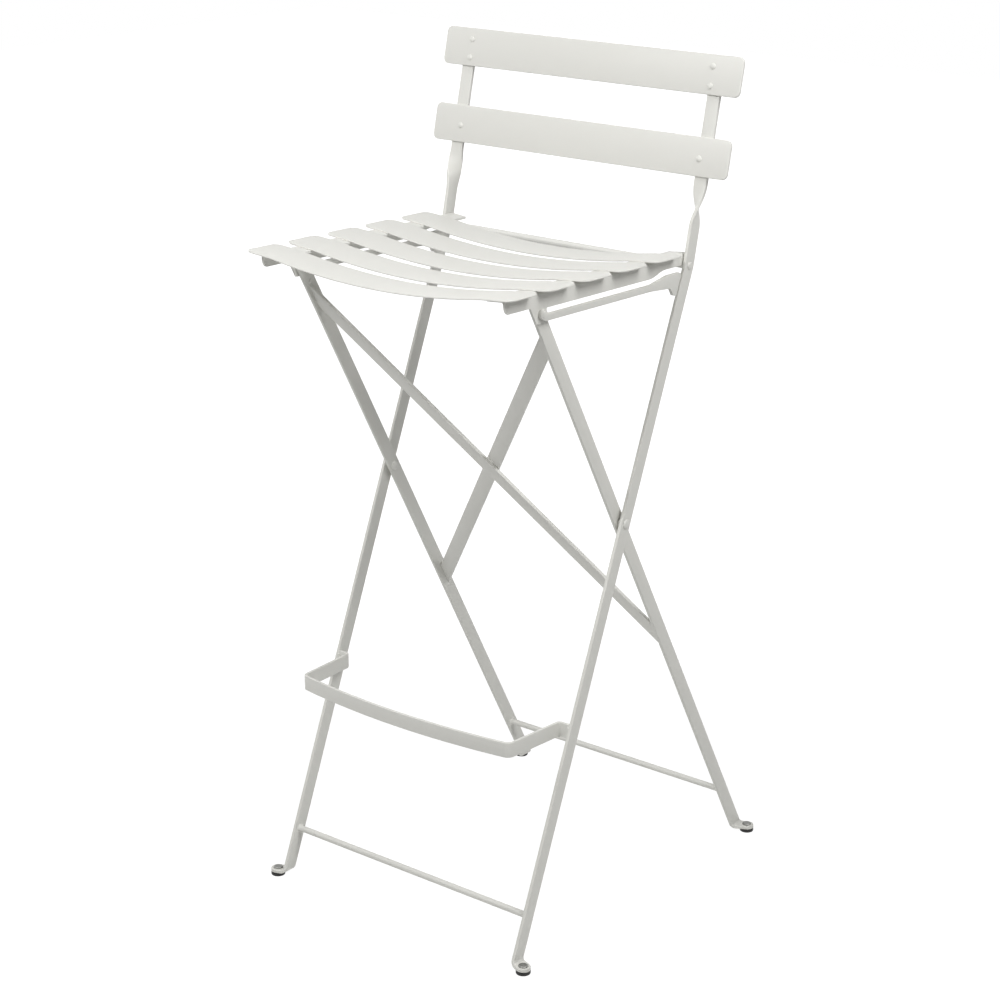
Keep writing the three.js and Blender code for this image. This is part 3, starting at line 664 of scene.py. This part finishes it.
# Seat, in distances from the pin: v toward the back, w upward
SLAT_TIP_TURNS, SLAT_TIP_X = range(0, 91, 6), 177
SLAT_STATIONS = (176.5, 174, 171, 167, 162, 156, 151, 147, 142, 136, 128, 118, 106, 92, 77, 61, 44, 26, 9)
SLAT_EDGE, SLAT_RIM, SLAT_RIM_SHARE, SLAT_CLEARANCE = 0.7, 0.8, 0.8, 0.03
NOSE_INSETS = (0, 0.2, 0.6, 1.2, 2, 3, 4, 5.5)
EAR_SIDE_STATIONS = (-40, -25, -18.75, -18.65, -16, -13, -10, -8, -7.5, -4, 0, 3, 6)
EAR_CORNER_STATIONS = (6.6, 7.2, 7.8, 8.2, 8.6, 8.85, 8.97, 9.03)
WEB_STATIONS, REAR_STATIONS = (12, 40, 80, 120, 160, 185), (226, 235, 245, 252, 255.8)
NECK_STATIONS = [NECK_START + 3 * k for k in range(11)]
SADDLE_STATIONS = [256.2 + 0.35 * k for k in range(17)]
WEB_EDGE, FLANGE_ROUND, FLANGE_TURNS = 0.4, 0.5, range(0, 91, 10)
FLANGE_FILLET = ((2.3, 0.4), (0.7, 1.1), (0, 2.6))
STOP_EYE_TURNS, STOP_EDGE = range(1, 242, 10), 0.5
# The hook's points as (ahead of the head's lower end, below the bar's top, radius)
HOOK = ((11.5, 10.2, 2.5), (5.8, 19, 1.5), (0, STOP_DEPTH, 1))
EYE_END, EYE_ROUND, NECK_ROUND = 3, 2, 14
SHOULDER_SHARE, SHOULDER_ROUND, HEAD_ROUND = 0.9, 10, 4


def seat_point(v, w, x):
    """The spot at these distances from the pin, at this x."""
    spot = PIN + SEAT_BACK * v + SEAT_UP * w
    spot.x = x
    return spot


def slat_lift(x):
    """Height above the flange's plain level: a dish in the middle, ends that slope up over the rails."""
    past = abs(x) - LANDING_X
    if past < 0:
        return (SLAT_DISH + LANDING_LIFT) * (x / LANDING_X) ** 2 - SLAT_DISH
    return LANDING_LIFT + RAIL_SLOPE * past


def seat_slat():
    """The front slat, dished, with rounded corners and rims."""
    tips = [SLAT_HALF - SLAT_CORNER * (1 - math.cos(math.radians(a))) for a in SLAT_TIP_TURNS]
    right = [x for x in tips if x > SLAT_TIP_X] + list(SLAT_STATIONS)
    loops = []
    for x in [-x for x in right] + right[::-1]:
        past = max(abs(x) - (SLAT_HALF - SLAT_CORNER), 0)
        cut = SLAT_CORNER - math.sqrt(max(SLAT_CORNER ** 2 - past ** 2, 0))
        front, rear = SLAT_FRONT + cut, SLAT_FRONT + SLAT_WIDTH - cut
        thin = max(SLAT_RIM - (SLAT_HALF - abs(x)), 0) * SLAT_RIM_SHARE
        low = FLANGE_TOP + SLAT_CLEARANCE + slat_lift(x)
        loops.append([seat_point(a, b, x)
                      for a, b in corners(front, rear, low + thin, low + SLAT_THICK - thin, SLAT_EDGE)])
    return loft(loops)


def rail_bottom(v):
    """Lower edge of the web: nose, ear over the pin, straight, neck, saddle over the rod, rear cut."""
    if v < EAR_FRONT:
        past = min(max(NOSE_START - v, 0) / NOSE_REACH, 1)
        return FRONT_BOTTOM + NOSE_RISE * (1 - math.sqrt(1 - past * past))
    if v < EAR_REAR:
        slant = FRONT_BOTTOM - (v - EAR_FRONT) / math.tan(math.radians(LEG_LEAN + SEAT_LEAN))
        corner = max(v - EAR_REAR + EAR_CORNER, 0)
        return max(slant, EAR_BOTTOM) + EAR_CORNER - math.sqrt(EAR_CORNER ** 2 - corner ** 2)
    share = min(max(v - NECK_START, 0) / NECK_LENGTH, 1)
    low = WEB_BOTTOM + NECK_RISE * eased(share)
    if v > REAR_CUT:
        low = max(low, WEB_BOTTOM + NECK_RISE + v - REAR_CUT)
    rod_v, rod_w = (KINK - PIN).dot(SEAT_BACK), (KINK - PIN).dot(SEAT_UP)
    if abs(v - rod_v) < SADDLE_RADIUS:
        low = max(low, rod_w + math.sqrt(SADDLE_RADIUS ** 2 - (v - rod_v) ** 2))
    return low


def rail_section(low):
    """Angle section as (x, w): web outside, flange inward on top, a round outer corner between them."""
    inner, outer = RAIL_INNER, RAIL_INNER + RAIL_THICK
    near, far = FLANGE_TOP + LANDING_LIFT, FLANGE_TOP + slat_lift(outer)
    section = [(inner, low + WEB_EDGE), (inner + WEB_EDGE, low)]
    section += [(outer - WEB_EDGE, low), (outer, low + WEB_EDGE)]
    for t in (math.radians(a) for a in FLANGE_TURNS):
        section.append((outer - RAIL_ROUND * (1 - math.cos(t)), far - RAIL_ROUND * (1 - math.sin(t))))
    left, bottom = FLANGE_EDGE, near - RAIL_THICK
    section += [(left + FLANGE_ROUND, near), (left, near - FLANGE_ROUND)]
    section += [(left, bottom + FLANGE_ROUND), (left + FLANGE_ROUND, bottom)]
    for aside, down in FLANGE_FILLET:
        section.append((inner - aside, far - RAIL_THICK - down))
    return section


def rail():
    """Angle rail with its nose, ear, neck and saddle."""
    stations = {NOSE_START - NOSE_REACH + inset for inset in NOSE_INSETS}
    stations.update(EAR_SIDE_STATIONS, EAR_CORNER_STATIONS, WEB_STATIONS, NECK_STATIONS, REAR_STATIONS,
                    SADDLE_STATIONS)
    loops = []
    for v in sorted(stations):
        section = rail_section(min(rail_bottom(v), FLANGE_TOP - RAIL_ROUND))
        loops.append([seat_point(v, w, x) for x, w in section])
    return loft(loops)


def stop_reach(w):
    """Where the upright's front edge, less a clearance, crosses a line of the seat."""
    normal = across(BACK_LEAN)
    start = PIN + SEAT_UP * w - PIVOT
    return (-BAR_WIDTH / 2 - STOP_GAP - start.dot(normal)) / SEAT_BACK.dot(normal)


def stop_bar():
    """Stop bar: round eye on the pin, bar under the rail, hooked head in front of the upright."""
    high, low = stop_reach(STOP_TOP + STOP_RISE), stop_reach(STOP_TOP - STOP_DEPTH)
    neck, half = low - STOP_LENGTH, STOP_LENGTH / 2
    eye = []
    for turn in STOP_EYE_TURNS:
        t = math.radians(turn)
        eye.append((STOP_EYE * math.cos(t), STOP_EYE * math.sin(t), 0))
    under = [(EYE_END, STOP_BOTTOM, EYE_ROUND), (neck - half, STOP_BOTTOM, NECK_ROUND)]
    hook = [(low - ahead, STOP_TOP - down, radius) for ahead, down, radius in HOOK]
    head = [(high, STOP_TOP + STOP_RISE, HEAD_ROUND),
            (neck + half * SHOULDER_SHARE, STOP_TOP + STOP_RISE, SHOULDER_ROUND)]
    outline = rounded(eye + under + hook + head + [(neck - half, STOP_TOP, NECK_ROUND)])
    return plate(outline, PIN, SEAT_BACK, SEAT_UP, STOP_INNER, STOP_OUTER, STOP_EDGE)


# Backrest and feet; a profile's rings are (height, radius)
BACK_SLAT_EDGE, BACK_SLAT_CORNER_STEPS = 0.8, 10
PAD_PROFILE = ((0, 7.6), (0.25, 8.1), (0.8, 8.45), (2.2, 8.5), (2.6, 8.25), (3.0, 8.25), (3.4, 8.5),
               (4.1, 8.45), (4.5, 8.1), (4.66, 7.4))
STUD_FOOT, STUD_SHANK, PAD_SIDES, STUD_SIDES = 2.2, 2.4, 48, 44
STUD_HEAD_PROFILE = ((SEAM, 5.35), (0.35, 5.5), (1.1, 5.45), (1.55, 5.1), (1.8, 4.5), (1.85, 3.4),
                     (1.6, 2.4), (1.5, 0.05))
WASHER_RADIUS, WASHER_BEVEL, WASHER_BEVEL_LENGTH = 4.5, 0.3, 0.35


def back_slat(bottom, height):
    """Flat slat in front of the uprights, its corners rounded."""
    middle = KINK + REST_UP * (bottom + height / 2)
    w, h, r = BACK_SLAT_HALF, height / 2, BACK_SLAT_CORNER
    outline = rounded([(-w, -h, r), (w, -h, r), (w, h, r), (-w, h, r)], BACK_SLAT_CORNER_STEPS)
    rear = BAR_THICK / 2 + GAP
    return plate(outline, middle, X_AXIS, REST_UP, rear, rear + BACK_SLAT_THICK, BACK_SLAT_EDGE)


def back_rivet(height):
    """Rivet through slat and upright, its higher head at the front."""
    spot = KINK + REST_UP * height
    spot.x = BACK_RIVET_X
    near, far = -BAR_THICK / 2 - SEAM, BAR_THICK / 2 + GAP + BACK_SLAT_THICK + SEAM
    return rivet(spot, -REST_BACK, near, far, THIN_SHANK, BACK_RIVET_HEAD, BACK_RIVET_REAR)


def foot_pad(bar_x, y):
    """Ribbed rubber pad under a foot tab."""
    return turned(Vector((bar_x + TAB_REACH, y, 0)), Z_AXIS, PAD_PROFILE, PAD_SIDES)


def foot_rivet(bar_x, y):
    """Stud through tab and pad, its head dished."""
    top = TAB_MIDDLE + BAR_THICK / 2
    rings = [(STUD_FOOT, STUD_SHANK), (top + SEAM, STUD_SHANK)]
    rings += [(top + rise, radius) for rise, radius in STUD_HEAD_PROFILE]
    return turned(Vector((bar_x + TAB_REACH, y, 0)), Z_AXIS, rings, STUD_SIDES)


def cross_washer():
    """Spacer between leg and upright at the crossing."""
    inner, outer, rim = LEG_OUTER + PLAY, BACK_INNER - PLAY, WASHER_RADIUS - WASHER_BEVEL
    full = [(inner + WASHER_BEVEL_LENGTH, WASHER_RADIUS), (outer - WASHER_BEVEL_LENGTH, WASHER_RADIUS)]
    return turned(PIVOT, X_AXIS, [(inner, rim), *full, (outer, rim)])


def side_rivet(start, inner, outer, head):
    """Rivet through the right side's bars, between the outer faces at these x."""
    return rivet(start, X_AXIS, inner - SEAM, outer + SEAM, PIN_RADIUS, head)


def feet(name, body, bar_x, y):
    """Both rubber pads and both studs of one pair of legs."""
    x = bar_x + TAB_REACH
    caps, studs = [foot_pad(bar_x, y)], [foot_rivet(bar_x, y)]
    both_sides(name + "_foot_caps", caps, body, name + "_foot_pad_{}", x, "pad_rubber")
    both_sides(name + "_foot_studs", studs, body, name + "_foot_rivet_{}", x, "rivet_steel")


# Back frame
pair("back_upright_bar_{}", [upright()], "back_frame", ["back_upright_{}"])
piece("back_slat_top", [back_slat(*UPPER_SLAT)], "back_frame", ["back_slat_upper"])
piece("back_slat_low", [back_slat(*LOWER_SLAT)], "back_frame", ["back_slat_lower"])
copies("back_rivets_top", [back_rivet(TOP_RIVET)], "back_frame",
       [f"back_rivet_upper_{side}_{k}" for side in ("left", "right") for k in (1, 2)],
       2, (-2 * BACK_RIVET_X, 0, 0), 2, REST_UP * (SECOND_RIVET - TOP_RIVET))
both_sides("back_rivets_low", [back_rivet(LOW_RIVET)], "back_frame", "back_rivet_lower_{}", BACK_RIVET_X)
piece("seat_rod", [seat_rod()], "back_frame", ["rear_cross_rod"])
piece("front_rod", [rod(PIVOT - BACK_UP * FRONT_ROD_DISTANCE, BACK_INNER)], "back_frame",
      ["front_cross_rod"])
piece("footrest_strap", [footrest()], "back_frame", ["footrest_bar"])
pair("footrest_weld_{}", footrest_welds(), "back_frame", [])
feet("front", "back_frame", BACK_X, FRONT_FOOT_Y)
both_sides("cross_rivets", [side_rivet(PIVOT, LEG_INNER, BACK_OUTER, CROSS_HEAD)], "back_frame",
           "cross_pivot_rivet_{}", (LEG_INNER + BACK_OUTER) / 2)
both_sides("cross_washers", [cross_washer()], "back_frame", "cross_pivot_washer_{}",
           (LEG_OUTER + BACK_INNER) / 2)

# Rear legs
pair("rear_leg_bar_{}", [rear_leg()], "leg_frame", ["rear_leg_{}"])
piece("rear_rod", [rod(PIVOT - LEG_UP * REAR_ROD_DISTANCE, LEG_INNER)], "leg_frame", ["leg_cross_rod"])
piece("brace_front", [brace(-1, BRACE_OFFSET)], "leg_frame", ["brace_strap_front"])
piece("brace_rear", [brace(1, -BRACE_OFFSET)], "leg_frame", ["brace_strap_rear"])
brace_face = BRACE_OFFSET + BAR_THICK / 2 + PLAY
piece("brace_rivet", [rivet(BRACE_CENTRE, LEG_BACK, -brace_face, brace_face, THIN_SHANK, BRACE_HEAD,
                            BRACE_HEAD_FRONT)], "leg_frame", ["brace_centre_rivet"])
piece("brace_weld_spots", crossing_welds() + brace_end_welds(), "leg_frame", [])
feet("rear", "leg_frame", LEG_X, REAR_FOOT_Y)

# Seat
copies("seat_boards", [seat_slat()], "seat", [f"seat_slat_{k + 1}" for k in range(SLAT_COUNT)],
       SLAT_COUNT, SEAT_BACK * SLAT_PITCH)
pair("seat_angle_{}", [rail()], "seat", ["seat_rail_{}"], sharp=RAIL_CREASE_ANGLE)
pair("seat_stop_{}", [stop_bar()], "seat", ["stop_bar_{}"])
both_sides("seat_pins", [side_rivet(PIN, LEG_INNER, STOP_OUTER, SEAT_PIN_HEAD)], "seat",
           "seat_pivot_rivet_{}", (LEG_INNER + STOP_OUTER) / 2)

# Studio, in metres: white ground and surroundings, soft lamps, camera
FLOOR_HALF, PAPER, FLOOR_GLOW = 6, (0.82, 0.82, 0.81, 1), 1.2
SHADOW_NEAR, SHADOW_FAR, SHADOW_SHARE = 0.45, 0.9, 0.22
SURROUND_LIGHT = 0.05
# Each lamp: place, height that it aims at on the middle axis, size, watts
LAMPS = {
    "front_high_lamp": ((-0.2, -1.4, 1.9), 0.7, 0.8, 20.5),
    "front_low_lamp": ((-0.9, -3.0, 2.2), 0.6, 1.8, 5),
    "right_lamp": ((1.7, -0.05, 2.3), 0.6, 1.2, 38),
    "left_lamp": ((-2.2, -0.4, 1.4), 0.6, 1.4, 13),
}
CAMERA_PLACE = (1.7147, (-2094.5 - MIDDLE_Y) / METRE, 1.3694)
CAMERA_DOWN, CAMERA_TURN, CAMERA_LENS, CAMERA_SENSOR = 18.398, 39.355, 87.91, 36


def shown_directly(tree):
    """1 on rays that the viewer sees, straight or through a reflection or glass."""
    rays = tree.nodes.new("ShaderNodeLightPath").outputs
    return Reading(tree, rays["Is Camera Ray"]) | rays["Is Glossy Ray"] | rays["Is Transmission Ray"]


def studio_floor():
    """White ground that keeps a faint shadow round the feet and lights the stool as pale paper would."""
    half = FLOOR_HALF
    mesh = bpy.data.meshes.new("floor")
    corner_points = [(-half, -half, 0), (half, -half, 0), (half, half, 0), (-half, half, 0)]
    mesh.from_pydata(corner_points, [], [(0, 1, 2, 3)])
    floor = shown("floor", mesh)
    material, tree = empty_material("floor_paper")
    paper = node(tree, "ShaderNodeBsdfDiffuse", {}, {"Color": PAPER})
    white = node(tree, "ShaderNodeEmission", {}, {"Color": (1, 1, 1, 1), "Strength": FLOOR_GLOW})
    spot = node(tree, "ShaderNodeVectorMath", {"operation": "LENGTH"}, {0: object_place(tree)}, "Value")
    near = node(tree, "ShaderNodeMapRange", {"interpolation_type": "SMOOTHSTEP"},
                {"Value": spot, "From Min": SHADOW_NEAR, "From Max": SHADOW_FAR, "To Min": SHADOW_SHARE,
                 "To Max": 0.0})
    ground = node(tree, "ShaderNodeMixShader", {}, {"Fac": near, 1: white, 2: paper})
    both = node(tree, "ShaderNodeMixShader", {}, {"Fac": shown_directly(tree), 1: paper, 2: ground})
    node(tree, "ShaderNodeOutputMaterial", {}, {"Surface": both}, None)
    mesh.materials.append(material)


def studio_world():
    """White wherever the viewer sees it, and a faint light all round the stool."""
    world = bpy.data.worlds.new("studio")
    world.use_nodes = True
    tree = world.node_tree
    tree.nodes.clear()
    soft = node(tree, "ShaderNodeBackground", {}, {"Color": (1, 1, 1, 1), "Strength": SURROUND_LIGHT})
    white = node(tree, "ShaderNodeBackground", {}, {"Color": (1, 1, 1, 1)})
    both = node(tree, "ShaderNodeMixShader", {}, {"Fac": shown_directly(tree), 1: soft, 2: white})
    node(tree, "ShaderNodeOutputWorld", {}, {"Surface": both}, None)
    bpy.context.scene.world = world


def area_light(name, place, aim_height, size, power):
    """Soft square lamp that aims at a height on the middle axis."""
    data = bpy.data.lights.new(name, "AREA")
    data.size = size
    data.energy = power
    lamp = shown(name, data)
    lamp.location = place
    lamp.rotation_euler = (Z_AXIS * aim_height - Vector(place)).to_track_quat("-Z", "Y").to_euler()


def studio_camera():
    """Camera at the photograph's viewing angle."""
    data = bpy.data.cameras.new("camera")
    data.sensor_width = CAMERA_SENSOR
    data.lens = CAMERA_LENS
    camera = shown("camera", data)
    camera.location = CAMERA_PLACE
    camera.rotation_euler = (math.radians(90 - CAMERA_DOWN), 0, math.radians(CAMERA_TURN))
    bpy.context.scene.camera = camera


studio_floor()
studio_world()
for lamp_name, (lamp_place, lamp_aim, lamp_size, lamp_power) in LAMPS.items():
    area_light(lamp_name, lamp_place, lamp_aim, lamp_size, lamp_power)
studio_camera()
bpy.context.scene.view_settings.view_transform = "Standard"
